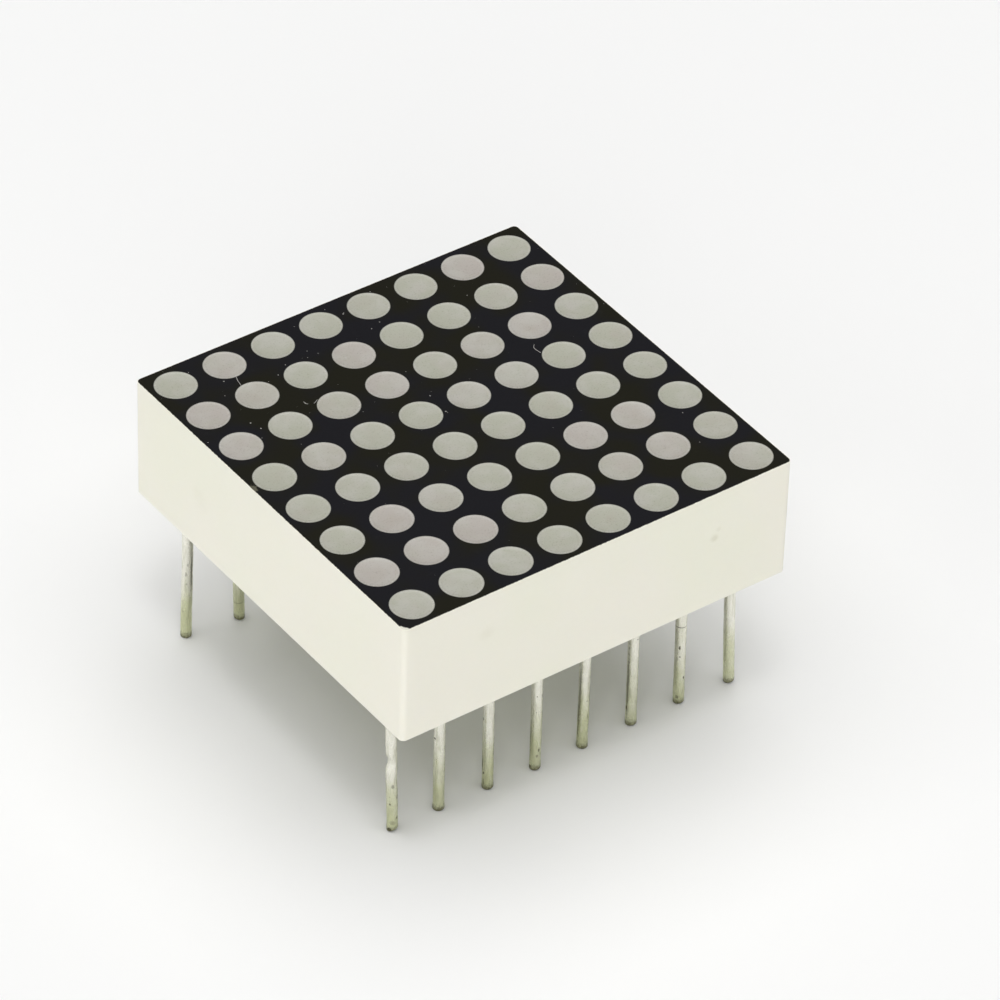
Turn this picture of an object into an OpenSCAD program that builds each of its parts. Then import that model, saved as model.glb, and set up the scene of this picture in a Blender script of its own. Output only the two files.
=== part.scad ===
// LED dot matrix display: eight rows by eight columns of round dots, on two rows of pins.
// Millimetres. The tips of the pins stand on z = 0, the pin rows run along X, and the face
// looks up along +Z. The origin is under the middle of the body.

/* [Body] */
// Width of the square body
body_w = 20; // [20:0.1:21]
// Height of the body, from the rim at its back to its face
body_h = 6; // [5.8:0.1:8]
// Radius of the upright corners
corner_r = 0.25; // [0.2:0.05:0.4]
// Thickness of the side walls
wall_t = 0.5; // [0.4:0.05:0.5]
// Thickness of the plate that the cups pass through, with its ink
plate_t = 3.2; // [3:0.1:3.3]
// Thickness of the black ink on the face
ink_t = 0.02; // [0.01:0.01:0.1]
// Width of the bare edge left round the ink
ink_inset = 0.03; // [0:0.01:0.1]
// Width of the bevel round the inside of the rim
rim_bevel = 0.15; // [0.05:0.05:0.2]

/* [Dots] */
// Distance between the middles of two neighbouring dots
dot_pitch = 2.5; // [2.45:0.01:2.5]
// Diameter of a dot on the face
dot_d = 1.9; // [1.7:0.05:2]
// Diameter of a cup at the circuit board
cup_back_d = 1.2; // [1.1:0.05:1.3]
// Depth of the hollow that shrinkage leaves in the top of a dot
dish_depth = 0.04; // [0.02:0.01:0.06]
// Width of the flat ring left round that hollow
dish_land = 0.05; // [0.03:0.01:0.08]

/* [Pins] */
// Distance between neighbouring pins of a row
pin_pitch = 2.54; // [2.5:0.01:2.54]
// Distance between the two rows
row_gap = 15.24; // [15:0.02:15.24]
// Diameter of a pin, with its tin
pin_d = 0.5; // [0.45:0.01:0.52]
// Thickness of the tin on the free part of a pin, which is dipped as far as the rim
tin_t = 0.003; // [0.001:0.001:0.004]
// How far the pins stand out behind the rim of the body
pin_out = 7.3; // [2.5:0.1:12]
// Rounding of both ends of a pin
pin_round = 0.07; // [0.03:0.01:0.1]
// How far the pins stand through the board, into the pockets of the plate
pin_through = 0.3; // [0.15:0.05:0.35]

/* [Circuit board] */
// Thickness of the board
board_t = 1; // [0.8:0.1:1.1]
// Gap between the board's edge and the side walls
board_gap = 0.1; // [0.05:0.01:0.1]
// Thickness of the copper, which lies flush in both faces of the board
copper_t = 0.035; // [0.018:0.001:0.07]
// Width of the tracks
track_w = 0.25; // [0.24:0.01:0.28]
// Diameter of the copper rings round the pins
ring_d = 0.9; // [0.8:0.05:0.95]

/* [Chips and wires] */
// Side of a chip
chip_w = 0.3; // [0.2:0.02:0.34]
// Height of a chip
chip_h = 0.2; // [0.1:0.02:0.26]
// Diameter of a bond wire
wire_d = 0.03; // [0.025:0.001:0.04]

/* [Potting resin] */
// Depth of the resin over the back of the board
potting_t = 1; // [0.8:0.05:1.1]
// Radius of the curve up which the resin creeps at the walls
wall_creep = 0.18; // [0.12:0.01:0.2]
// Radius of the curve up which the resin creeps at the pins
pin_creep = 0.12; // [0.08:0.01:0.13]

/* [Hidden] */
$fn = 48;
// Dots along each side, and pins in each row
count = 8;
// How far a cutting shape runs past the face that it cuts
cut = 0.1;

// Heights, from the back up
rim_z = pin_out;
face_z = rim_z + body_h;
ink_z = face_z - ink_t;
plate_z = face_z - plate_t;
board_z = plate_z - board_t;
potting_z = board_z - potting_t;

// The space behind the plate
cavity_w = body_w - 2 * wall_t;
cavity_r = 0.3;
ink_w = body_w - 2 * ink_inset;
ink_r = corner_r - ink_inset;
board_w = cavity_w - 2 * board_gap;
board_r = 0.4;

// Growth of a cup's diameter with height
cup_slope = (dot_d - cup_back_d) / (ink_z - plate_z);
// Radius of the ball that hollows a dot
dish_r = dot_d / 2 - dish_land;
dish_ball_r = (dish_r ^ 2 + dish_depth ^ 2) / (2 * dish_depth);

// Diameter of a pin's wire, without its tin
bare_d = pin_d - 2 * tin_t;

// Pockets in the plate over the ends of the pins
pocket_d = 0.7;
pocket_h = 0.5;
// Holes in the board for the pins and their solder
hole_d = 0.6;
// The solder behind the board: how high it climbs, and how thin it ends on the pin
solder_h = 0.45;
solder_skin = 0.015;
solder_steps = 6;
// The solder's low crown on the front of the board
crown_h = 0.1;

// Places within a dot, from its middle towards the middle of the board
chip_in = -0.12;
bond_in = 0.42;
column_track_in = 1;
// How far a row's track lies in front of the middle of its dots
row_track_off = 0.4;
die_pad_w = 0.44;
bond_pad_w = 0.3;
via_d = 0.24;
// The arch of a bond wire
arch_r = (bond_in - chip_in) / 2;
arch_in = (bond_in + chip_in) / 2;

// Share of its radius that the resin climbs at a wall or a pin
creep_share = 0.6;

function place(i, pitch) = (i - (count - 1) / 2) * pitch;
function dot_at(i) = place(i, dot_pitch);
function pin_x(i) = place(i, pin_pitch);
// +1 for the columns left of the middle, -1 for those right of it
function inward(i) = i < count / 2 ? 1 : -1;
// Columns take every second pin of the front row, and the others of the rear row
function column_side(i) = i % 2 == 0 ? -1 : 1;
// The front four rows take the front pins left over, and the rear four rows the rear ones
function row_side(j) = j < count / 2 ? -1 : 1;
function row_pin(j) = j < count / 2 ? 2 * j + 1 : 2 * j - count;
// Pins are numbered along the front row, then back along the rear row
function pin_index(n) = n <= count ? n - 1 : 2 * count - n;
function pin_side(n) = n <= count ? -1 : 1;
function pin_name(n) = str(n < 10 ? "pin_0" : "pin_", n);
function dots_name(j) = str("dots_row_", j + 1);

ROWS = [0 : count - 1];
PINS = [1 : 2 * count];

// A square block with round upright corners, from height low to height high
module rounded_block(w, r, low, high) {
    translate([0, 0, low]) linear_extrude(high - low) {
        square([w, w - 2 * r], center = true);
        square([w - 2 * r, w], center = true);
        for (x = [-1, 1], y = [-1, 1]) translate([x, y] * (w / 2 - r)) circle(r);
    }
}

module at_each_dot() {
    for (i = ROWS, j = ROWS) translate([dot_at(i), dot_at(j), 0]) children();
}

module at_pin(n) {
    translate([pin_x(pin_index(n)), pin_side(n) * row_gap / 2, 0]) children();
}

module at_each_pin() {
    for (n = PINS) at_pin(n) children();
}

// The space in one cup, run past both ends by over
module cup_space(over = 0) {
    translate([0, 0, plate_z - over])
        cylinder(
            h = ink_z - plate_z + 2 * over,
            d1 = cup_back_d - over * cup_slope,
            d2 = dot_d + over * cup_slope
        );
}

// A bevel along the inside of the rim
module rim_bevels() {
    for (turn = [0 : 90 : 270]) rotate(turn)
        translate([cavity_w / 2, 0, rim_z])
            rotate([0, 45, 0])
                cube([rim_bevel * sqrt(2), cavity_w, rim_bevel * sqrt(2)], center = true);
}

module housing() {
    color("#ece9dc") difference() {
        rounded_block(body_w, corner_r, rim_z, ink_z);
        rounded_block(cavity_w, cavity_r, rim_z - cut, plate_z);
        rim_bevels();
        at_each_dot() cup_space(cut);
        at_each_pin() translate([0, 0, plate_z - cut]) cylinder(h = pocket_h + cut, d = pocket_d);
    }
}

module black_face() {
    color("#22201e") difference() {
        rounded_block(ink_w, ink_r, ink_z, face_z);
        at_each_dot() translate([0, 0, ink_z - cut]) cylinder(h = ink_t + 2 * cut, d = dot_d);
    }
}

// One chip, in column i
module chip(i) {
    translate([inward(i) * chip_in, 0, plate_z + chip_h / 2])
        cube([chip_w, chip_w, chip_h], center = true);
}

// One bond wire, in column i: an arch from the top of the chip, and a straight leg to the pad
module bond_wire(i) {
    translate([inward(i) * arch_in, 0, plate_z + chip_h]) {
        rotate([90, 0, 0]) rotate_extrude(angle = 180) translate([arch_r, 0]) circle(d = wire_d);
        translate([inward(i) * arch_r, 0, -chip_h]) cylinder(h = chip_h, d = wire_d);
    }
}

// The resin in one cup, cast round the chip and its wire
module dot_plug(i) {
    difference() {
        union() {
            cup_space();
            translate([0, 0, ink_z]) cylinder(h = ink_t, d = dot_d);
        }
        translate([0, 0, face_z - dish_depth + dish_ball_r]) sphere(dish_ball_r);
        chip(i);
        bond_wire(i);
    }
}

module dots_row(j) {
    color("#afaea3") for (i = ROWS) translate([dot_at(i), dot_at(j), 0]) dot_plug(i);
}

module led_chips() {
    color("#c9b95c") for (i = ROWS, j = ROWS) translate([dot_at(i), dot_at(j), 0]) chip(i);
}

module bond_wires() {
    color("gold") for (i = ROWS, j = ROWS) translate([dot_at(i), dot_at(j), 0]) bond_wire(i);
}

// A straight run of copper between two points, w wide, lying at height z
module track(from, to, z, w = track_w) {
    low = [min(from.x, to.x), min(from.y, to.y)];
    run = [abs(to.x - from.x), abs(to.y - from.y)];
    translate([low.x - w / 2, low.y - w / 2, z]) cube([run.x + w, run.y + w, copper_t]);
}

module pad(at, w) {
    track(at, at, plate_z - copper_t, w);
}

module via(at) {
    translate([at.x, at.y, board_z]) cylinder(h = board_t, d = via_d);
}

// The copper behind the board from a track's end to the pin that it serves, with the pin's ring
module pin_land(start, pin) {
    difference() {
        union() {
            track(start, pin, board_z);
            translate([pin.x, pin.y, board_z]) cylinder(h = copper_t, d = ring_d);
        }
        translate([pin.x, pin.y, board_z - cut]) cylinder(h = copper_t + 2 * cut, d = hole_d);
    }
}

// A column's copper: a track behind the board that joins the bond pads of its dots
module column_net(i) {
    pad_x = dot_at(i) + inward(i) * bond_in;
    track_x = dot_at(i) + inward(i) * column_track_in;
    pin_y = column_side(i) * row_gap / 2;
    track([track_x, dot_at(0)], [track_x, dot_at(count - 1)], board_z);
    for (j = ROWS) {
        pad([pad_x, dot_at(j)], bond_pad_w);
        via([pad_x, dot_at(j)]);
        track([pad_x, dot_at(j)], [track_x, dot_at(j)], board_z);
    }
    pin_land([track_x, pin_y], [pin_x(i), pin_y]);
}

// A row's copper: a track on the front of the board that joins the pads under its chips
module row_net(j) {
    track_y = dot_at(j) - row_track_off;
    pin = [pin_x(row_pin(j)), row_side(j) * row_gap / 2];
    track([dot_at(0), track_y], [dot_at(count - 1), track_y], plate_z - copper_t);
    for (i = ROWS) {
        chip_x = dot_at(i) + inward(i) * chip_in;
        track([chip_x, track_y], [chip_x, dot_at(j)], plate_z - copper_t, die_pad_w);
    }
    via([pin.x, track_y]);
    pin_land([pin.x, track_y], pin);
}

module copper_tracks() {
    color("#b87333") {
        for (i = ROWS) column_net(i);
        for (j = ROWS) row_net(j);
    }
}

module circuit_board() {
    color("#3f7d4c") difference() {
        rounded_block(board_w, board_r, board_z, plate_z);
        copper_tracks();
        at_each_pin() translate([0, 0, board_z - cut]) cylinder(h = board_t + 2 * cut, d = hole_d);
    }
}

// Half the section of a round rod with rounded ends, between two heights
module rod_section(d, low, high) {
    translate([0, low]) square([d / 2 - pin_round, high - low]);
    translate([0, low + pin_round]) square([d / 2, high - low - 2 * pin_round]);
    for (z = [low + pin_round, high - pin_round]) translate([d / 2 - pin_round, z]) circle(pin_round);
}

// One pin: tinned from its tip at the bottom to the rim, and bare from there to its end in the
// plate's pocket
module pin() {
    rotate_extrude() {
        rod_section(bare_d, 0, plate_z + pin_through);
        rod_section(pin_d, 0, rim_z);
    }
}

// The solder round one pin: a thin sleeve through the board, and a skirt that thins down the pin
module solder_joint() {
    skirt = [
        for (k = [0 : solder_steps])
            let (down = k / solder_steps)
            [
                bare_d / 2 + solder_skin + (ring_d / 2 - bare_d / 2 - 2 * solder_skin) * (1 - down) ^ 2,
                board_z - solder_h * down
            ]
    ];
    rotate_extrude() polygon(concat(
        [
            [bare_d / 2, plate_z + crown_h],
            [hole_d / 2, plate_z],
            [hole_d / 2, board_z]
        ],
        skirt,
        [[bare_d / 2, board_z - solder_h]]
    ));
}

module solder_joints() {
    color("#a9abac") at_each_pin() solder_joint();
}

// The open space over the resin, rounded along the walls where the resin creeps up
module pool() {
    edge = cavity_w / 2 - wall_creep;
    run = cavity_w - 2 * cavity_r;
    translate([0, 0, potting_z - 2 * wall_creep]) linear_extrude(2 * wall_creep)
        square(2 * edge, center = true);
    for (turn = [0 : 90 : 270]) rotate(turn)
        translate([edge, 0, potting_z - wall_creep])
            rotate([90, 0, 0]) cylinder(h = 2 * edge, r = wall_creep, center = true);
    for (x = [-1, 1], y = [-1, 1])
        translate([x * edge, y * edge, potting_z - wall_creep]) sphere(wall_creep);
}

// The ring of resin that creeps up a pin
module pin_meniscus() {
    climb = pin_creep * creep_share;
    translate([0, 0, potting_z - climb]) rotate_extrude() difference() {
        square([bare_d / 2 + pin_creep, climb + cut]);
        translate([bare_d / 2 + pin_creep, climb - pin_creep]) circle(pin_creep);
    }
}

module back_potting() {
    color("#d8dbc6") difference() {
        union() {
            difference() {
                rounded_block(cavity_w, cavity_r, potting_z - wall_creep * creep_share, plate_z);
                pool();
            }
            at_each_pin() pin_meniscus();
        }
        rounded_block(board_w, board_r, board_z, plate_z + cut);
        solder_joints();
        at_each_pin() cylinder(h = plate_z, d = bare_d);
    }
}

housing();
black_face();
circuit_board();
copper_tracks();
led_chips();
bond_wires();
solder_joints();
back_potting();
for (j = ROWS) dots_row(j);
for (n = PINS) color("#b7b5a4") at_pin(n) pin();
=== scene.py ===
"""The looks of an LED dot matrix: a white moulded body with a black inked face, milky dots
and tinned pins, standing on a pale floor under soft light. Lengths are in metres."""

import math

import bpy
from mathutils import Matrix, Vector


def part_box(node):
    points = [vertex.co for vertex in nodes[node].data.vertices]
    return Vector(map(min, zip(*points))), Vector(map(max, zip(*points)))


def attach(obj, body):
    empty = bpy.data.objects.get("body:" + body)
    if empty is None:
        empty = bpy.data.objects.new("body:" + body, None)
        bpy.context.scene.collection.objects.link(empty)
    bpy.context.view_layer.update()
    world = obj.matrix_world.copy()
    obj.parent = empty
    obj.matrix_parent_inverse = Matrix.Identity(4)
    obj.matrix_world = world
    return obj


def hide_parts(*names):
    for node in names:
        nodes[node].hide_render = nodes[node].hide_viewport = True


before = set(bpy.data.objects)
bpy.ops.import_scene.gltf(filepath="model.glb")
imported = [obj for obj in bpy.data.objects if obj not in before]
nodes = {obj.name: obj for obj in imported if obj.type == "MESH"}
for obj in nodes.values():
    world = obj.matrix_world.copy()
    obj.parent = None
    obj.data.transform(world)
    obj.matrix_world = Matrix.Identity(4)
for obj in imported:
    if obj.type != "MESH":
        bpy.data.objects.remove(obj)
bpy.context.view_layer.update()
MM = 0.001

# ---- Names and sizes, worked out from the frame ----

COUNT = 8
ROWS = [f"dots_row_{number}" for number in range(1, COUNT + 1)]
PINS = [f"pin_{number:02d}" for number in range(1, 2 * COUNT + 1)]
FACE_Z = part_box("black_face")[1].z
RIM_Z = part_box("housing")[0].z
RESIN_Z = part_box("back_potting")[0].z
HALF_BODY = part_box("housing")[1].x
DOT_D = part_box("dots_row_1")[1].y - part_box("dots_row_1")[0].y
DOT_PITCH = (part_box("dots_row_8")[1].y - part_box("dots_row_1")[1].y) / (COUNT - 1)
PIN_R = (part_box("pin_01")[1].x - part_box("pin_01")[0].x) / 2
PIN_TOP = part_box("pin_01")[1].z

# Level directions seen from outside the front left corner: across to the right, and outwards
ACROSS = Vector((0.80, -0.60, 0))
OUTWARDS = Vector((-0.60, -0.80, 0))


# ---- Short forms for nodes ----

def add(tree, kind, inputs=(), **settings):
    """A node of a tree, with its settings, and its inputs set or linked by name or number."""
    made = tree.nodes.new(kind)
    for name, value in settings.items():
        setattr(made, name, value)
    for name, value in dict(inputs).items():
        if isinstance(value, bpy.types.NodeSocket):
            tree.links.new(value, made.inputs[name])
        else:
            made.inputs[name].default_value = value
    return made


def maths(tree, operation, first, second=0.0, clamp=False):
    """The result of one sum on two numbers or sockets."""
    made = add(tree, "ShaderNodeMath", {0: first, 1: second}, operation=operation)
    made.use_clamp = clamp
    return made.outputs[0]


def vectors(tree, operation, first, second=(0, 0, 0)):
    """The result of one sum on two vectors or sockets."""
    made = add(tree, "ShaderNodeVectorMath", {0: first, 1: second}, operation=operation)
    return made.outputs["Value" if operation in ("LENGTH", "DOT_PRODUCT", "DISTANCE") else "Vector"]


def scaled(tree, vector, factor):
    """A vector times a number or socket."""
    made = add(tree, "ShaderNodeVectorMath", {0: vector, "Scale": factor}, operation="SCALE")
    return made.outputs["Vector"]


def ramp(tree, value, low, high, out_low=0.0, out_high=1.0):
    """value taken smoothly from the range low to high into the range out_low to out_high."""
    made = add(
        tree,
        "ShaderNodeMapRange",
        {"Value": value, "From Min": low, "From Max": high, "To Min": out_low, "To Max": out_high},
        interpolation_type="SMOOTHSTEP",
    )
    return made.outputs["Result"]


def blend(tree, share, first, second):
    """Two colours mixed, with share of the second."""
    made = add(tree, "ShaderNodeMix", {"Factor": share}, data_type="RGBA")
    for number, value in ((6, first), (7, second)):
        if isinstance(value, bpy.types.NodeSocket):
            tree.links.new(value, made.inputs[number])
        else:
            made.inputs[number].default_value = (*value, 1)
    return made.outputs[2]


def noise(tree, place, size, detail=3.0, roughness=0.5):
    """Noise with features about size across, from 0 to 1."""
    inputs = {"Vector": place, "Scale": 1 / size, "Detail": detail, "Roughness": roughness}
    return add(tree, "ShaderNodeTexNoise", inputs).outputs["Fac"]


def stretched(tree, place, scale):
    """The place with each axis scaled, so that a pattern on it is drawn out."""
    return vectors(tree, "MULTIPLY", place, scale)


def axes(tree, vector):
    """The X, Y and Z of a vector."""
    return add(tree, "ShaderNodeSeparateXYZ", {"Vector": vector}).outputs


def upright(tree, height):
    """The vector that goes straight up by a height."""
    return add(tree, "ShaderNodeCombineXYZ", {"Z": height}).outputs[0]


def bumps(tree, height, depth, normal=None):
    """A bump normal from a height from 0 to 1, as deep as depth."""
    inputs = {"Height": height, "Distance": depth, "Strength": 1.0}
    if normal is not None:
        inputs["Normal"] = normal
    return add(tree, "ShaderNodeBump", inputs).outputs["Normal"]


def finish(name, **constants):
    """A new material: (the material, its tree, its shader, the place in object coordinates)."""
    made = bpy.data.materials.new(name)
    made.use_nodes = True
    tree = made.node_tree
    shader = tree.nodes["Principled BSDF"]
    for socket, value in constants.items():
        shader.inputs[socket.replace("_", " ")].default_value = value
    place = add(tree, "ShaderNodeTexCoord").outputs["Object"]
    return made, tree, shader, place


def feed(tree, shader, colour, rough=None, normal=None):
    """Joins a colour, and where given a roughness and a normal, to a shader."""
    for socket, value in (("Base Color", colour), ("Roughness", rough), ("Normal", normal)):
        if value is not None:
            tree.links.new(value, shader.inputs[socket])


def near(tree, place, point, radii, soft, rough, ragged):
    """1 inside an ellipsoid round a point and 0 outside it. soft is the share of its radii over
    which it fades, and rough is noise about zero that moves its edge by ragged of them."""
    away = vectors(tree, "SUBTRACT", place, tuple(point))
    away = vectors(tree, "LENGTH", stretched(tree, away, tuple(1 / size for size in radii)))
    away = maths(tree, "ADD", away, maths(tree, "MULTIPLY", rough, ragged))
    return ramp(tree, away, 1 - soft, 1.0, 1.0, 0.0)


def about_zero(tree, value):
    """Noise from 0 to 1 moved to lie about zero."""
    return maths(tree, "SUBTRACT", value, 0.5)


# ---- Finishes ----

def moulded_white():
    """Warm white plastic: faint flow shades, a fine mould grain and a few old stains."""
    made, tree, shader, place = finish(
        "moulded_white",
        Subsurface_Weight=0.10,
        Subsurface_Radius=(1.0, 0.85, 0.6),
        Subsurface_Scale=0.4 * MM,
        Specular_IOR_Level=0.25,
    )
    flow = noise(tree, place, 6 * MM, 2)
    colour = blend(tree, ramp(tree, flow, 0.3, 0.7), (0.905, 0.898, 0.768), (0.922, 0.898, 0.792))
    grain = noise(tree, place, 0.25 * MM, 4)
    colour = blend(tree, maths(tree, "MULTIPLY", grain, 0.04), colour, (0.62, 0.60, 0.50))
    ragged = about_zero(tree, noise(tree, place, 0.3 * MM, 4))
    # (place in mm, radius in mm, strength) of the stains on the walls
    stains = (
        ((6.0, -10, 10.9), 0.30, 0.24),
        ((6.2, -10, 11.3), 0.18, 0.12),
        ((-5.8, -10, 11.2), 0.5, 0.07),
        ((-10, 5.0, 10.2), 0.9, 0.04),
    )
    for point, radius, strength in stains:
        mark = near(tree, place, Vector(point) * MM, [radius * MM] * 3, 0.9, ragged, 0.9)
        colour = blend(tree, maths(tree, "MULTIPLY", mark, strength), colour, (0.45, 0.42, 0.24))
    rough = ramp(tree, grain, 0.2, 0.8, 0.42, 0.55)
    feed(tree, shader, colour, rough, bumps(tree, grain, 0.003 * MM))
    return made


def black_ink():
    """Satin black ink with brown and blue casts and a fine orange peel. It is worn off the
    edges in a ragged line, and chipped at the front left corner and on the left edge."""
    made, tree, shader, place = finish("black_ink", Specular_IOR_Level=0.08)
    bluish, brownish = (0.0082, 0.0080, 0.0105), (0.0098, 0.0092, 0.0045)
    cast = noise(tree, place, 3.0 * MM, 2)
    colour = blend(tree, ramp(tree, cast, 0.38, 0.62), bluish, brownish)
    dusty = ramp(tree, noise(tree, place, 0.45 * MM, 5, 0.7), 0.58, 0.85, 0.0, 0.016)
    colour = blend(tree, dusty, colour, (0.30, 0.29, 0.27))
    ragged = about_zero(tree, noise(tree, place, 0.10 * MM, 3, 0.6))
    # The line where the ink stops, from the distance to the nearest side of the body
    x, y, _ = axes(tree, place)
    from_side = maths(
        tree,
        "MINIMUM",
        maths(tree, "SUBTRACT", HALF_BODY, maths(tree, "ABSOLUTE", x)),
        maths(tree, "SUBTRACT", HALF_BODY, maths(tree, "ABSOLUTE", y)),
    )
    from_side = maths(tree, "ADD", from_side, maths(tree, "MULTIPLY", ragged, 0.05 * MM))
    no_ink, full_ink = 0.025 * MM, 0.045 * MM
    bare = ramp(tree, from_side, no_ink, full_ink, 1.0, 0.0)
    # The chip runs from one edge to the other, straight across the corner
    chip_x, chip_y = 0.31 * MM, 0.49 * MM
    across = maths(
        tree,
        "ADD",
        maths(tree, "DIVIDE", maths(tree, "ADD", x, HALF_BODY), chip_x),
        maths(tree, "DIVIDE", maths(tree, "ADD", y, HALF_BODY), chip_y),
    )
    across = maths(tree, "ADD", across, maths(tree, "MULTIPLY", ragged, 0.7))
    bare = maths(tree, "MAXIMUM", bare, ramp(tree, across, 0.9, 1.1, 1.0, 0.0))
    colour = blend(tree, maths(tree, "MULTIPLY", bare, 0.92), colour, (0.80, 0.79, 0.69))
    worn = (-HALF_BODY, 1.1 * MM, FACE_Z)
    scuff = near(tree, place, worn, [0.3 * MM] * 3, 0.5, ragged, 1.8)
    colour = blend(tree, maths(tree, "MULTIPLY", scuff, 0.5), colour, (0.22, 0.21, 0.15))
    peel = noise(tree, place, 0.12 * MM, 3)
    feed(tree, shader, colour, ramp(tree, peel, 0.2, 0.8, 0.36, 0.5), bumps(tree, peel, 0.002 * MM))
    return made


def dot_resin():
    """Milky resin. Each dot has its own pink or green cast and clouds, a climbing edge with painted
    glints in places, and a thin ring of painted shade of the ink's edge round it."""
    made, tree, shader, place = finish(
        "dot_resin",
        Subsurface_Weight=0.15,
        Subsurface_Radius=(1.0, 0.9, 0.7),
        Subsurface_Scale=0.3 * MM,
    )
    # The dot that a point belongs to, and how far out it is, from 0 in the middle to 1
    cells = stretched(tree, place, (1 / DOT_PITCH, 1 / DOT_PITCH, 0))
    corner = vectors(tree, "FLOOR", cells)
    middle = vectors(tree, "ADD", corner, (0.5, 0.5, 0))
    away = vectors(tree, "DISTANCE", cells, middle)
    away = maths(tree, "MULTIPLY", away, 2 * DOT_PITCH / DOT_D)
    own = add(tree, "ShaderNodeTexWhiteNoise", {"Vector": corner}, noise_dimensions="3D")
    shares = add(tree, "ShaderNodeSeparateColor", {"Color": own.outputs["Color"]}).outputs
    # Each dot's own cast, moved by clouds
    greenish, pinkish = (0.409, 0.411, 0.337), (0.430, 0.397, 0.361)
    pink = ramp(tree, shares["Red"], 0.35, 0.95)
    cloud = noise(tree, place, 1.1 * MM, 3)
    drift = maths(tree, "MULTIPLY", about_zero(tree, cloud), 1.6)
    colour = blend(tree, maths(tree, "ADD", pink, drift, clamp=True), greenish, pinkish)
    # A pale haze, and a warm cloud in the middle of some dots
    elsewhere = vectors(tree, "ADD", place, (0.5, 0.3, 0.1))
    pale = noise(tree, elsewhere, 0.8 * MM, 3)
    pale = maths(tree, "ADD", pale, maths(tree, "MULTIPLY", shares["Blue"], 0.15))
    colour = blend(tree, ramp(tree, pale, 0.45, 0.80, 0.0, 0.5), colour, (0.49, 0.48, 0.44))
    deep = ramp(tree, away, 0.05, 0.7, 1.0, 0.0)
    deep = maths(tree, "MULTIPLY", deep, ramp(tree, cloud, 0.35, 0.7))
    warm = maths(tree, "MULTIPLY", deep, ramp(tree, shares["Green"], 0.5, 1.0, 0.05, 0.5))
    colour = blend(tree, warm, colour, (0.39, 0.35, 0.29))
    # The edge that climbs the ink, with painted glints in places, and a thin dark ring round it
    # that is painted shade of the ink's edge
    speckle = noise(tree, place, 0.07 * MM, 2, 0.6)
    # Painted glints: a paler colour in patches near the edge of each dot
    rim_glint = ramp(tree, speckle, 0.45, 0.7, 0.1, 0.6)
    rim_glint = maths(tree, "MULTIPLY", ramp(tree, away, 0.84, 0.93), rim_glint)
    colour = blend(tree, rim_glint, colour, (0.62, 0.61, 0.56))
    # A thin dark ring at the very edge of each dot: painted shade of the ink's edge
    colour = blend(tree, ramp(tree, away, 0.965, 0.995, 0.0, 0.75), colour, (0.08, 0.077, 0.06))
    climb = ramp(tree, speckle, 0.3, 0.7, 0.6, 1.0)
    climb = maths(tree, "MULTIPLY", ramp(tree, away, 0.80, 1.0), climb)
    fine = noise(tree, place, 0.08 * MM, 4, 0.6)
    normal = bumps(tree, climb, 0.03 * MM, bumps(tree, fine, 0.003 * MM))
    feed(tree, shader, colour, ramp(tree, fine, 0.2, 0.8, 0.22, 0.42), normal)
    return made


# How the pins stray, seen from outside the front left corner: (tip to the right, tip outwards,
# slant of the cut to the right, flare, lumps), all in mm but the slant. Pins 9 to 14 are behind
# the others.
PIN_STRAYS = (
    (0.165, -0.20, 0.45, 0.000, 0.075),
    (0.045, -0.13, 0.05, 0.018, 0.030),
    (0.065, -0.05, 0.10, 0.006, 0.040),
    (0.035, 0.14, 0.12, 0.000, 0.040),
    (0.000, 0.14, -0.05, 0.010, 0.050),
    (0.060, 0.06, 0.10, 0.006, 0.030),
    (0.090, 0.04, 0.15, 0.000, 0.030),
    (0.250, 0.07, 0.20, 0.000, 0.020),
    (-0.060, 0.05, -0.10, 0.005, 0.030),
    (0.050, -0.04, 0.10, 0.000, 0.040),
    (-0.030, 0.08, 0.05, 0.010, 0.030),
    (0.070, 0.03, 0.15, 0.005, 0.030),
    (0.010, -0.09, -0.15, 0.000, 0.040),
    (-0.050, 0.06, 0.10, 0.008, 0.030),
    (0.090, -0.05, -0.10, 0.000, 0.020),
    (-0.140, -0.24, 0.05, 0.004, 0.030),
)
# A pin bends more and more towards its tip, by this power of its free length
LEAN_POWER = 1.3
TIN_T = 0.003 * MM


def lean_of(number):
    """How far a pin's tip strays from its place in the resin."""
    right, out = PIN_STRAYS[number - 1][:2]
    return (ACROSS * right + OUTWARDS * out) * MM


def on_pin(number, height, side):
    """A point on a pin's surface, height mm up. side is -1 at its left limb, seen from outside
    the front left corner, 0 in its middle and 1 at its right limb."""
    low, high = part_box(PINS[number - 1])
    axis = (low + high) / 2
    depth = math.sqrt(1 - side * side)
    free = max(0, 1 - height * MM / RESIN_Z) ** LEAN_POWER
    centre = Vector((axis.x, axis.y, height * MM)) + lean_of(number) * free
    return centre + (ACROSS * side + OUTWARDS * depth) * PIN_R
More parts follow.
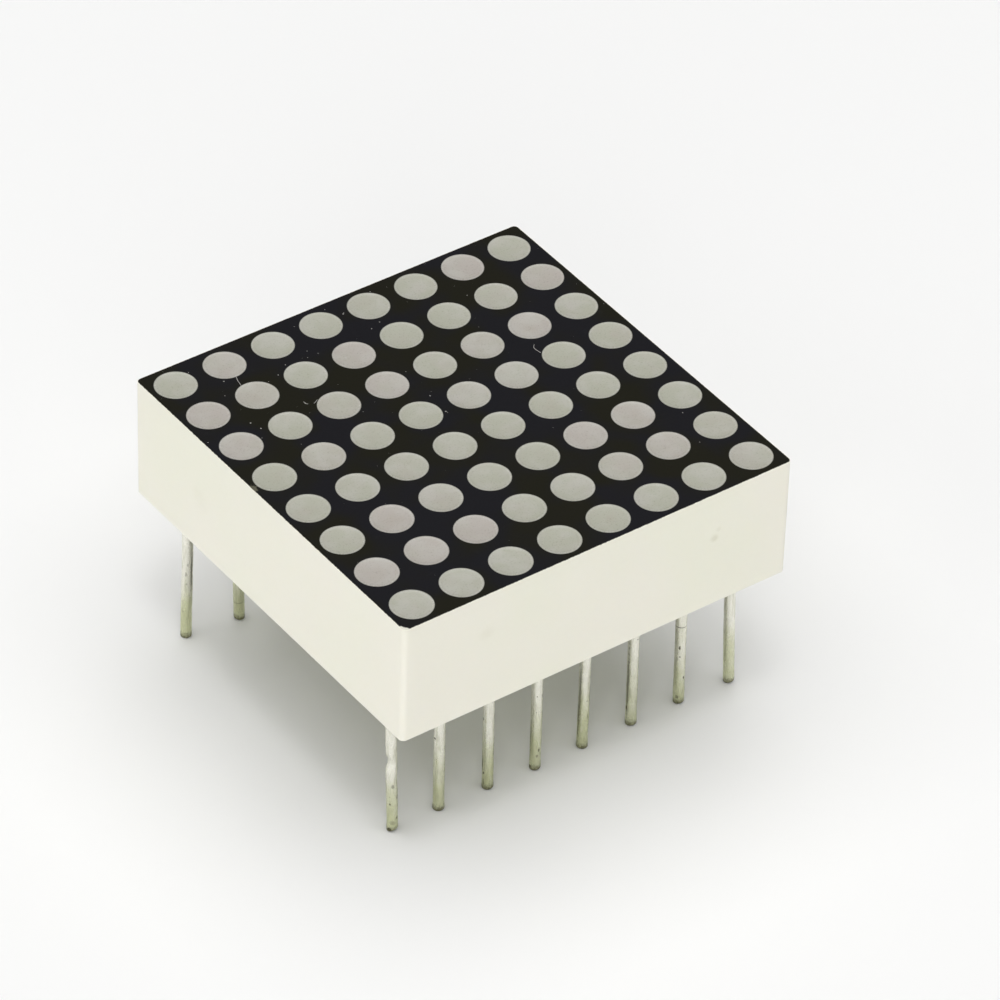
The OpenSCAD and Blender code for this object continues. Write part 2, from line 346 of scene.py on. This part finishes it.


# Dark marks on the pins, and long strips of painted reflection of the dark underside on the limbs
# of pins 4, 5, 6 and 16: (pin, height in mm, side, width in mm, length in mm, strength)
PIN_MARKS_AND_SHADE_STRIPS = (
    (1, 1.65, -0.30, 0.10, 0.13, 0.75),
    (1, 2.65, 0.25, 0.14, 0.26, 0.45),
    (1, 2.00, 0.90, 0.10, 0.30, 0.55),
    (1, 0.80, 0.85, 0.12, 0.22, 0.60),
    (1, 0.16, -0.50, 0.22, 0.22, 0.95),
    (1, 0.55, 0.10, 0.30, 0.25, 0.30),
    (2, 4.10, -0.80, 0.16, 0.13, 0.85),
    (3, 3.95, -0.90, 0.09, 0.20, 0.80),
    (3, 1.35, -0.90, 0.10, 1.10, 0.60),
    (3, 0.95, -0.75, 0.10, 0.20, 0.85),
    (3, 0.40, -0.75, 0.08, 0.55, 0.60),
    (4, 4.15, 0.05, 0.07, 0.08, 0.75),
    (4, 4.10, 0.90, 0.06, 0.28, 0.60),
    (4, 1.15, 0.60, 0.09, 0.26, 0.75),
    (4, 0.85, 0.35, 0.12, 0.16, 0.45),
    (4, 0.20, -0.85, 0.12, 0.20, 0.90),
    # A long strip of painted reflection of the dark underside
    (4, 1.60, -0.88, 0.09, 2.60, 0.50),
    (5, 1.80, 0.75, 0.07, 0.35, 0.40),
    # A long strip of painted reflection of the dark underside
    (5, 2.60, -0.75, 0.15, 5.00, 0.60),
    (6, 1.00, -0.82, 0.11, 0.26, 0.95),
    (6, 4.85, 0.70, 0.10, 0.07, 0.80),
    # A long strip of painted reflection of the dark underside
    (6, 2.40, -0.75, 0.13, 4.60, 0.60),
    (7, 3.20, -0.12, 0.08, 0.26, 0.90),
    (7, 2.70, -0.05, 0.07, 0.14, 0.60),
    (7, 1.50, 0.75, 0.09, 0.16, 0.80),
    (7, 0.45, -0.30, 0.16, 0.20, 0.55),
    # A long strip of painted reflection of the dark underside
    (16, 3.80, 0.78, 0.13, 3.60, 0.60),
    (16, 4.30, 0.15, 0.10, 0.20, 0.35),
    (16, 3.75, -0.15, 0.12, 0.28, 0.35),
    (16, 3.20, -0.05, 0.08, 0.12, 0.30),
)
# A mark's radii as shares of its width and its length, over a half because its edge fades
MARK_WIDE, MARK_LONG = 0.65, 0.6
# Thin dark rings round pins: (pin, height in mm, strength)
PIN_RINGS = ((7, 4.35, 0.75), (15, 1.0, 0.35))
# The pin with a dent: its number, and the dent's height in mm, side and depth in mm
DENTED_PIN, DENT_HEIGHT, DENT_SIDE, DENT_DEPTH = 1, 3.95, -0.8, 0.11


def tinned():
    """Hot tin on wire: pale and olive patches with painted shade growing towards the tip, streaks
    along the pin, pits, marks, long strips of painted reflection of the dark underside, and painted
    shade at the tip."""
    made, tree, shader, place = finish("tinned", Metallic=1.0)
    height = axes(tree, place)["Z"]
    streak = noise(tree, stretched(tree, place, (1, 1, 0.16)), 0.16 * MM, 4, 0.6)
    patch = noise(tree, stretched(tree, place, (1, 1, 0.5)), 1.0 * MM, 3)
    # Olive patches of the tin, with painted shade growing towards the tip where the pin reflects
    # the shaded floor, and pale and dark streaks over it
    olive_and_tip_shade = ramp(tree, height, 0.4 * MM, 4.6 * MM, 0.75, 0.05)
    olive_and_tip_shade = maths(tree, "ADD", olive_and_tip_shade, about_zero(tree, patch))
    colour = blend(tree, ramp(tree, olive_and_tip_shade, 0.05, 0.85), (0.86, 0.85, 0.76), (0.63, 0.65, 0.42))
    colour = blend(tree, ramp(tree, streak, 0.48, 0.72, 0.0, 0.45), colour, (0.42, 0.43, 0.28))
    colour = blend(tree, ramp(tree, streak, 0.25, 0.42, 0.5, 0.0), colour, (0.93, 0.93, 0.84))
    fine = noise(tree, place, 0.10 * MM, 4, 0.7)
    # Pits, marks and rings are all dark, and so are the long strips of painted reflection of the
    # dark underside among the marks
    pits_marks_and_painted_strips = ramp(tree, patch, 0.45, 0.6, 0.1, 0.8)
    pits_marks_and_painted_strips = maths(tree, "MULTIPLY", ramp(tree, fine, 0.64, 0.72), pits_marks_and_painted_strips)
    ragged = about_zero(tree, noise(tree, place, 0.09 * MM, 3))
    for number, up, side, width, length, strength in PIN_MARKS_AND_SHADE_STRIPS:
        radii = (width * MARK_WIDE * MM, width * MARK_WIDE * MM, length * MARK_LONG * MM)
        mark = near(tree, place, on_pin(number, up, side), radii, 0.6, ragged, 1.2)
        pits_marks_and_painted_strips = maths(tree, "MAXIMUM", pits_marks_and_painted_strips, maths(tree, "MULTIPLY", mark, strength))
    for number, up, strength in PIN_RINGS:
        radii = (0.5 * MM, 0.5 * MM, 0.035 * MM)
        ring = near(tree, place, on_pin(number, up, 0), radii, 0.7, ragged, 1.0)
        pits_marks_and_painted_strips = maths(tree, "MAXIMUM", pits_marks_and_painted_strips, maths(tree, "MULTIPLY", ring, strength))
    colour = blend(tree, pits_marks_and_painted_strips, colour, (0.055, 0.05, 0.03))
    # Painted shade at the tip, where it reflects the contact shadow on the floor, up to a ragged
    # line
    tip_shade = maths(tree, "ADD", height, maths(tree, "MULTIPLY", ragged, 0.5 * MM))
    tip_shade = ramp(tree, tip_shade, 0.02 * MM, 0.45 * MM, 0.9, 0.0)
    colour = blend(tree, tip_shade, colour, (0.14, 0.135, 0.08))
    rough = ramp(tree, streak, 0.2, 0.8, 0.20, 0.38)
    rough = maths(tree, "ADD", rough, maths(tree, "MULTIPLY", pits_marks_and_painted_strips, 0.3))
    normal = bumps(tree, fine, 0.004 * MM, bumps(tree, streak, 0.010 * MM))
    feed(tree, shader, colour, rough, normal)
    return made


def plain_metal(name, light, dark, metallic, rough, size):
    """A metal with clouds, size mm across, of two shades of one colour."""
    made, tree, shader, place = finish(name, Metallic=metallic)
    cloud = noise(tree, place, size * MM, 4)
    rough = ramp(tree, cloud, 0.2, 0.8, rough, rough + 0.2)
    feed(tree, shader, blend(tree, cloud, dark, light), rough, bumps(tree, cloud, 0.005 * MM))
    return made


def board_laminate():
    """Green glass laminate, with its weave showing faintly."""
    made, tree, shader, place = finish("board_laminate", Roughness=0.4)
    weave = {"Vector": place, "Scale": 1 / (3 * MM), "Distortion": 0.4}
    weave = add(tree, "ShaderNodeTexWave", weave).outputs["Fac"]
    feed(tree, shader, blend(tree, weave, (0.035, 0.16, 0.07), (0.05, 0.22, 0.10)))
    return made


def potting_resin():
    """Cloudy yellowish resin, through which the back of the board shows faintly."""
    made, tree, shader, place = finish(
        "potting_resin",
        Transmission_Weight=0.45,
        Subsurface_Weight=0.3,
        Subsurface_Radius=(1.0, 1.0, 0.7),
        Subsurface_Scale=0.5 * MM,
        IOR=1.5,
    )
    cloud = noise(tree, place, 4 * MM, 3)
    colour = blend(tree, cloud, (0.62, 0.65, 0.42), (0.76, 0.78, 0.56))
    rough = ramp(tree, cloud, 0.2, 0.8, 0.12, 0.3)
    feed(tree, shader, colour, rough, bumps(tree, cloud, 0.03 * MM))
    return made


def dust_grey():
    """Pale lint and dust."""
    made, tree, shader, place = finish("dust_grey", Roughness=0.9)
    shade = noise(tree, place, 0.6 * MM, 2)
    feed(tree, shader, blend(tree, shade, (0.22, 0.21, 0.19), (0.75, 0.74, 0.71)))
    return made


def dress(names, material):
    """Gives CAD nodes a material in place of their own."""
    for name in names:
        slots = nodes[name].data.materials
        slots.clear()
        slots.append(material)


TIN = tinned()
dress(["housing"], moulded_white())
dress(["black_face"], black_ink())
dress(ROWS, dot_resin())
dress(["circuit_board"], board_laminate())
dress(["back_potting"], potting_resin())

# The metals inside, by node: (name, light colour, dark colour, metallic, roughness, clouds in mm)
METALS = {
    "copper_tracks": ("copper", (0.80, 0.45, 0.28), (0.60, 0.30, 0.17), 1.0, 0.3, 1),
    "led_chips": ("chip", (0.55, 0.50, 0.25), (0.40, 0.36, 0.18), 0.3, 0.2, 0.1),
    "bond_wires": ("bond_wire", (0.95, 0.75, 0.35), (0.90, 0.66, 0.28), 1.0, 0.2, 0.2),
    "solder_joints": ("solder", (0.70, 0.71, 0.72), (0.50, 0.51, 0.52), 1.0, 0.25, 0.4),
}
for metal_node, look in METALS.items():
    dress([metal_node], plain_metal(*look))


# ---- Geometry Nodes ----

def new_tree(name, sockets):
    """An empty Geometry Nodes tree with named inputs: (the tree, its inputs)."""
    tree = bpy.data.node_groups.new(name, "GeometryNodeTree")
    tree.interface.new_socket("Geometry", in_out="OUTPUT", socket_type="NodeSocketGeometry")
    tree.interface.new_socket("Geometry", in_out="INPUT", socket_type="NodeSocketGeometry")
    for label, kind in sockets.items():
        tree.interface.new_socket(label, in_out="INPUT", socket_type=f"NodeSocket{kind}")
    return tree, tree.nodes.new("NodeGroupInput").outputs


def end_tree(tree, geometry, material):
    """Realizes the instances, sets the material and joins the result to the tree's output."""
    whole = add(tree, "GeometryNodeRealizeInstances", {"Geometry": geometry}).outputs[0]
    inputs = {"Geometry": whole, "Material": material}
    dressed = add(tree, "GeometryNodeSetMaterial", inputs).outputs[0]
    tree.links.new(dressed, tree.nodes.new("NodeGroupOutput").inputs[0])


def here(tree):
    """Where each point of the geometry is."""
    return add(tree, "GeometryNodeInputPosition").outputs[0]


def moved(tree, geometry, how, vector):
    """The geometry with its points set to a Position or shifted by an Offset."""
    return add(tree, "GeometryNodeSetPosition", {"Geometry": geometry, how: vector}).outputs[0]


def joined(tree, *parts):
    """Several geometries as one."""
    made = tree.nodes.new("GeometryNodeJoinGeometry")
    for part in parts:
        tree.links.new(part, made.inputs[0])
    return made.outputs[0]


def tube(tree, line, sides, radius, scale=1.0):
    """A closed tube along a curve, with a number of sides. scale may change along it."""
    profile = {"Resolution": sides, "Radius": radius}
    profile = add(tree, "GeometryNodeCurvePrimitiveCircle", profile).outputs[0]
    inputs = {"Curve": line, "Profile Curve": profile, "Scale": scale, "Fill Caps": True}
    return add(tree, "GeometryNodeCurveToMesh", inputs).outputs[0]


def grow(name, tree, start, **values):
    """The plain piece that a tree makes from the mesh it starts with."""
    piece = bpy.data.objects.new(name, start)
    bpy.context.scene.collection.objects.link(piece)
    modifier = piece.modifiers.new("grow", "NODES")
    modifier.node_group = tree
    for item in tree.interface.items_tree:
        key = item.name.replace(" ", "_")
        if item.in_out == "INPUT" and key in values:
            modifier[item.identifier] = values[key]
    graph = bpy.context.evaluated_depsgraph_get()
    mesh = bpy.data.meshes.new_from_object(piece.evaluated_get(graph))
    piece.modifiers.remove(modifier)
    piece.data = mesh
    bpy.data.meshes.remove(start)
    mesh.name = name
    return piece


def pin_tree():
    """A tinned pin: rings along a leaning axis, uneven under its tin, with a cut tip that may
    slant, flare and carry a dent above it. It stands straight and bare where the resin holds it."""
    tree, given = new_tree("tinned pin", {
        "Place": "Vector", "Length": "Float", "Rim": "Float", "Root": "Float",
        "Radius": "Float", "Bare Radius": "Float", "Lean": "Vector", "Lumps": "Float",
        "Cut": "Vector", "Flare": "Float", "Dent": "Vector", "Dent Depth": "Float",
        "Material": "Material",
    })
    rings, sides, crowding = 110, 28, 1.6
    tip_round = 0.07 * MM
    flare_from, flare_to = 0.08 * MM, 0.4 * MM
    dent_from, dent_to = 0.08 * MM, 0.5 * MM
    cut_to, cut_lift = 0.5 * MM, 0.75
    line = add(tree, "GeometryNodeCurvePrimitiveLine", {"End": (0, 0, 1)}).outputs[0]
    line = add(tree, "GeometryNodeResampleCurve", {"Curve": line, "Count": rings}).outputs[0]
    # The rings crowd together at the tip
    factor = axes(tree, here(tree))["Z"]
    up = maths(tree, "MULTIPLY", maths(tree, "POWER", factor, crowding), given["Length"])
    free = maths(tree, "SUBTRACT", 1.0, maths(tree, "DIVIDE", up, given["Root"]), clamp=True)
    lean = scaled(tree, given["Lean"], maths(tree, "POWER", free, LEAN_POWER))
    where = vectors(tree, "ADD", lean, upright(tree, up))
    where = vectors(tree, "ADD", where, given["Place"])
    line = moved(tree, line, "Position", where)
    # The radius along the pin: bare above the rim, flared and then drawn in at the tip
    height = axes(tree, here(tree))["Z"]
    bare = ramp(tree, maths(tree, "SUBTRACT", height, given["Rim"]), -0.1 * MM, 0.0)
    spare = maths(tree, "SUBTRACT", given["Bare Radius"], given["Radius"])
    radius = maths(tree, "ADD", given["Radius"], maths(tree, "MULTIPLY", spare, bare))
    flare = ramp(tree, height, flare_from, flare_to, 1.0, 0.0)
    flare = maths(tree, "MULTIPLY", given["Flare"], flare)
    radius = maths(tree, "ADD", radius, flare)
    low = maths(tree, "SUBTRACT", 1.0, maths(tree, "DIVIDE", height, tip_round), clamp=True)
    arc = maths(tree, "SQRT", maths(tree, "SUBTRACT", 1.0, maths(tree, "MULTIPLY", low, low)))
    drawn_in = maths(tree, "MULTIPLY", maths(tree, "SUBTRACT", 1.0, arc), tip_round)
    radius = maths(tree, "SUBTRACT", radius, drawn_in)
    mesh = tube(tree, line, sides, 1.0, radius)
    # Lumps and the dent, which both fade out at the tip and at the rim
    place = here(tree)
    outward = add(tree, "GeometryNodeInputNormal").outputs[0]
    height = axes(tree, place)["Z"]
    fade = ramp(tree, maths(tree, "SUBTRACT", given["Rim"], height), 0.0, 0.4 * MM)
    fade = maths(tree, "MULTIPLY", ramp(tree, height, 0.1 * MM, 0.5 * MM), fade)
    swell = about_zero(tree, noise(tree, stretched(tree, place, (1, 1, 0.6)), 0.7 * MM, 2))
    swell = maths(tree, "MULTIPLY", swell, given["Lumps"])
    away = vectors(tree, "DISTANCE", place, given["Dent"])
    dent = ramp(tree, away, dent_from, dent_to, 1.0, 0.0)
    dent = maths(tree, "MULTIPLY", given["Dent Depth"], dent)
    push = maths(tree, "MULTIPLY", maths(tree, "SUBTRACT", swell, dent), fade)
    shift = scaled(tree, outward, push)
    # The slant of the cut lifts one side of the tip, and fades out above it
    level = vectors(tree, "SUBTRACT", place, vectors(tree, "ADD", given["Place"], given["Lean"]))
    slant = vectors(tree, "DOT_PRODUCT", level, given["Cut"])
    steep = maths(tree, "MULTIPLY", vectors(tree, "LENGTH", given["Cut"]), given["Radius"])
    slant = maths(tree, "ADD", slant, maths(tree, "MULTIPLY", steep, cut_lift))
    slant = maths(tree, "MULTIPLY", slant, ramp(tree, height, 0.0, cut_to, 1.0, 0.0))
    shift = vectors(tree, "ADD", shift, upright(tree, slant))
    mesh = moved(tree, mesh, "Offset", shift)
    # Nothing reaches under the tip's height of zero
    place = axes(tree, here(tree))
    kept = {"X": place["X"], "Y": place["Y"], "Z": maths(tree, "MAXIMUM", place["Z"], 0.0)}
    mesh = moved(tree, mesh, "Position", add(tree, "ShaderNodeCombineXYZ", kept).outputs[0])
    smooth = add(tree, "GeometryNodeSetShadeSmooth", {"Geometry": mesh}).outputs[0]
    end_tree(tree, smooth, given["Material"])
    return tree


def pins():
    """The sixteen pins, in place of the straight CAD ones."""
    tree = pin_tree()
    for number, (_, _, slant, flare, lumps) in enumerate(PIN_STRAYS, 1):
        name = PINS[number - 1]
        low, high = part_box(name)
        piece = grow(
            f"tinned_{name}",
            tree,
            bpy.data.meshes.new("start"),
            Place=((low.x + high.x) / 2, (low.y + high.y) / 2, 0),
            Length=PIN_TOP,
            Rim=RIM_Z,
            Root=RESIN_Z,
            Radius=PIN_R,
            Bare_Radius=PIN_R - TIN_T,
            Lean=lean_of(number),
            Lumps=lumps * MM,
            Cut=ACROSS * slant,
            Flare=flare * MM,
            Dent=on_pin(DENTED_PIN, DENT_HEIGHT, DENT_SIDE),
            Dent_Depth=DENT_DEPTH * MM if number == DENTED_PIN else 0.0,
            Material=TIN,
        )
        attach(piece, "root")
        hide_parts(name)


# Specks that lie on the face: (x, y, size), all in mm
SPECKS = (
    (-6.90, 7.83, 0.060), (-7.42, 6.98, 0.032), (-7.55, 4.83, 0.056), (-7.39, 4.28, 0.060),
    (-4.73, 6.91, 0.044), (-7.81, 9.19, 0.036), (-9.78, 4.73, 0.036), (-6.71, 8.68, 0.040),
    (-2.76, 7.60, 0.036), (-3.00, 7.21, 0.030), (-4.07, 7.32, 0.040), (-5.32, 6.76, 0.032),
    (-7.72, 3.72, 0.034), (0.01, 8.89, 0.056), (0.07, 8.93, 0.044), (1.89, 9.55, 0.042),
    (-0.47, 9.59, 0.038), (1.00, 7.55, 0.044), (0.44, 7.35, 0.036), (-2.46, 7.20, 0.030),
    (-1.62, 6.33, 0.066), (1.10, 4.02, 0.062), (1.00, 4.06, 0.040), (-1.73, 3.44, 0.050),
    (-3.65, 3.95, 0.044), (-0.05, 4.08, 0.036), (-0.16, 2.13, 0.056), (-0.22, 0.88, 0.060),
    (-0.20, 0.78, 0.034), (-3.15, 2.82, 0.030), (5.25, 7.00, 0.040), (8.10, -4.80, 0.040),
    (7.50, -6.80, 0.036), (-4.87, 4.66, 0.042),
)
# Fibres that lie on the face: their points (x, y), all in mm
FIBRES = (
    ((-6.29, 7.80), (-6.38, 7.55), (-6.41, 7.38), (-6.46, 7.12)),
    ((-4.30, 4.58), (-4.42, 4.50), (-4.56, 4.45)),
    ((-4.80, 4.55), (-4.86, 4.62), (-4.87, 4.78)),
    ((5.62, 2.55), (5.48, 2.40), (5.47, 2.21), (5.52, 1.92)),
)


def dust_tree():
    """Flakes on the points of the starting mesh and scattered on the ink, and threads along its
    edges. Scattered flakes lie more thickly towards the back."""
    tree, given = new_tree("face dust", {
        "Face": "Object", "Flakes": "Float", "Flake Size": "Float", "Thread Radius": "Float",
        "Seed": "Int", "Material": "Material",
    })
    face = add(tree, "GeometryNodeObjectInfo", {"Object": given["Face"]}).outputs["Geometry"]
    normal = axes(tree, add(tree, "GeometryNodeInputNormal").outputs[0])["Z"]
    top = add(tree, "FunctionNodeCompare", {0: normal, 1: 0.5}, operation="GREATER_THAN").outputs[0]
    place = here(tree)
    back = ramp(tree, axes(tree, place)["Y"], -HALF_BODY, HALF_BODY, 0.25, 1.3)
    patchy = ramp(tree, noise(tree, place, 4 * MM, 2), 0.4, 0.65, 0.2, 1.6)
    patchy = maths(tree, "MULTIPLY", back, patchy)
    scatter = {
        "Mesh": face,
        "Selection": top,
        "Density": maths(tree, "MULTIPLY", patchy, given["Flakes"]),
        "Seed": given["Seed"],
    }
    points = add(tree, "GeometryNodeDistributePointsOnFaces", scatter).outputs["Points"]
    chance = {2: 0.25, 3: 1.0, "Seed": given["Seed"]}
    chance = add(tree, "FunctionNodeRandomValue", chance).outputs[1]
    chance = maths(tree, "MULTIPLY", chance, given["Flake Size"])
    sized = {"Geometry": points, "Name": "size", "Value": chance}
    points = add(tree, "GeometryNodeStoreNamedAttribute", sized).outputs[0]
    chosen = add(tree, "GeometryNodeMeshToPoints", {"Mesh": given["Geometry"]}).outputs[0]
    # The flakes are flatter than they are wide, lie almost level and are crumpled
    size = add(tree, "GeometryNodeInputNamedAttribute", {"Name": "size"}).outputs[0]
    spread = {0: (0.7, 0.7, 0.35), 1: (1.3, 1.3, 0.6), "Seed": given["Seed"]}
    spread = add(tree, "FunctionNodeRandomValue", spread, data_type="FLOAT_VECTOR").outputs[0]
    turns = {0: (-0.3, -0.3, 0.0), 1: (0.3, 0.3, math.tau), "Seed": given["Seed"]}
    turns = add(tree, "FunctionNodeRandomValue", turns, data_type="FLOAT_VECTOR").outputs[0]
    flake = add(tree, "GeometryNodeMeshIcoSphere", {"Radius": 0.5, "Subdivisions": 2}).outputs[0]
    laid = {
        "Points": joined(tree, points, chosen),
        "Instance": flake,
        "Rotation": add(tree, "FunctionNodeEulerToRotation", {"Euler": turns}).outputs[0],
        "Scale": scaled(tree, spread, size),
    }
    flakes = add(tree, "GeometryNodeInstanceOnPoints", laid).outputs[0]
    flakes = add(tree, "GeometryNodeRealizeInstances", {"Geometry": flakes}).outputs[0]
    jagged_size, jagged_depth = 0.03 * MM, 0.02 * MM
    jagged = {"Vector": here(tree), "Scale": 1 / jagged_size}
    jagged = add(tree, "ShaderNodeTexNoise", jagged).outputs["Color"]
    jagged = scaled(tree, vectors(tree, "SUBTRACT", jagged, (0.5, 0.5, 0.5)), jagged_depth)
    flakes = moved(tree, flakes, "Offset", jagged)
    points, sides = 16, 6
    thread = add(tree, "GeometryNodeMeshToCurve", {"Mesh": given["Geometry"]}).outputs[0]
    thread = add(tree, "GeometryNodeResampleCurve", {"Curve": thread, "Count": points}).outputs[0]
    thread = tube(tree, thread, sides, given["Thread Radius"])
    end_tree(tree, joined(tree, flakes, thread), given["Material"])
    return tree


def top_at(x, y):
    """The point of the object's top at x and y."""
    start = Vector((x, y, FACE_Z + 1 * MM))
    hits = (nodes[name].ray_cast(start, (0, 0, -1)) for name in ["black_face", *ROWS])
    return max((hit[1] for hit in hits if hit[0]), key=lambda point: point.z)


def face_dust():
    """Dust, specks and fibres on the face."""
    spots = [(x, y, size) for x, y, size in SPECKS]
    edges = []
    for fibre in FIBRES:
        first = len(spots)
        spots += [(x, y, 0.0) for x, y in fibre]
        edges += [(index, index + 1) for index in range(first, len(spots) - 1)]
    start = bpy.data.meshes.new("start")
    start.from_pydata([top_at(x * MM, y * MM) for x, y, _ in spots], edges, [])
    sizes = start.attributes.new("size", "FLOAT", "POINT").data
    sizes.foreach_set("value", [size * MM for *_, size in spots])
    piece = grow(
        "face_dust",
        dust_tree(),
        start,
        Face=nodes["black_face"],
        Flakes=0.5 / MM ** 2,
        Flake_Size=0.022 * MM,
        Thread_Radius=0.010 * MM,
        Seed=4,
        Material=dust_grey(),
    )
    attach(piece, "root")


pins()
face_dust()


# ---- Floor, light and camera ----

def pale_floor():
    """A wide pale floor under the tips of the pins."""
    mesh = bpy.data.meshes.new("floor")
    reach = 1.5
    corners = [(-reach, -reach, 0), (reach, -reach, 0), (reach, reach, 0), (-reach, reach, 0)]
    mesh.from_pydata(corners, [], [(0, 1, 2, 3)])
    floor = bpy.data.objects.new("floor", mesh)
    bpy.context.scene.collection.objects.link(floor)
    made, tree, shader, place = finish("floor_white", Roughness=0.85, Specular_IOR_Level=0.2)
    shade = noise(tree, place, 60 * MM, 2)
    feed(tree, shader, blend(tree, shade, (0.900, 0.900, 0.895), (0.915, 0.915, 0.910)))
    mesh.materials.append(made)


def towards(azimuth, elevation):
    """The unit vector at an azimuth, 0 in front of the front pins and growing towards the right,
    and an elevation, both in degrees."""
    turn, rise = math.radians(azimuth), math.radians(elevation)
    level = math.cos(rise)
    return Vector((math.sin(turn) * level, -math.cos(turn) * level, math.sin(rise)))


def facing_back(away):
    """The turn that points an object's back along away, and so its front at the origin."""
    return away.to_track_quat("Z", "Y").to_matrix().to_4x4()


def soft_light(name, azimuth, elevation, width, strength):
    """A far square soft light of a given radiance, turned towards the object. width is its size
    as a share of its distance."""
    distance = 3.2
    away = towards(azimuth, elevation)
    lamp = bpy.data.lights.new(name, "AREA")
    lamp.size = width * distance
    lamp.energy = strength * math.pi * lamp.size ** 2
    holder = bpy.data.objects.new(name, lamp)
    holder.matrix_world = Matrix.Translation(away * distance) @ facing_back(away)
    holder.visible_camera = False
    bpy.context.scene.collection.objects.link(holder)


def plain_world(light, shown):
    """Even light from all round, which shows past the floor as a paler backdrop."""
    world = bpy.data.worlds.new("world")
    world.use_nodes = True
    tree = world.node_tree
    sky = tree.nodes["Background"]
    sky.inputs["Color"].default_value = (1.0, 1.0, 0.995, 1)
    seen = add(tree, "ShaderNodeLightPath").outputs["Is Camera Ray"]
    strength = maths(tree, "ADD", maths(tree, "MULTIPLY", seen, shown - light), light)
    tree.links.new(strength, sky.inputs["Strength"])
    bpy.context.scene.world = world


def camera():
    """A long lens, high in front of the corner between the front and left walls."""
    aim = Vector((0.65, -2.0, 10.0)) * MM
    away = towards(-36.88, 39.06)
    distance = 280.9 * MM
    roll = Matrix.Rotation(math.radians(1.92), 4, "Z")
    lens = bpy.data.cameras.new("camera")
    lens.lens = 237.55
    lens.clip_start, lens.clip_end = 0.01, 10
    holder = bpy.data.objects.new("camera", lens)
    holder.matrix_world = Matrix.Translation(aim + away * distance) @ facing_back(away) @ roll
    bpy.context.scene.collection.objects.link(holder)
    bpy.context.scene.camera = holder


pale_floor()
plain_world(0.2, 0.93)
soft_light("overhead", 0, 90, 1.56, 1.34)
soft_light("key", -37, 75, 0.19, 9.5)
soft_light("front", -37, 20, 0.62, 2.25)
soft_light("left", -97, 20, 0.62, 0.95)
soft_light("back", 143, 66, 0.5, 0.6)
bpy.context.scene.view_settings.view_transform = "Standard"
camera()
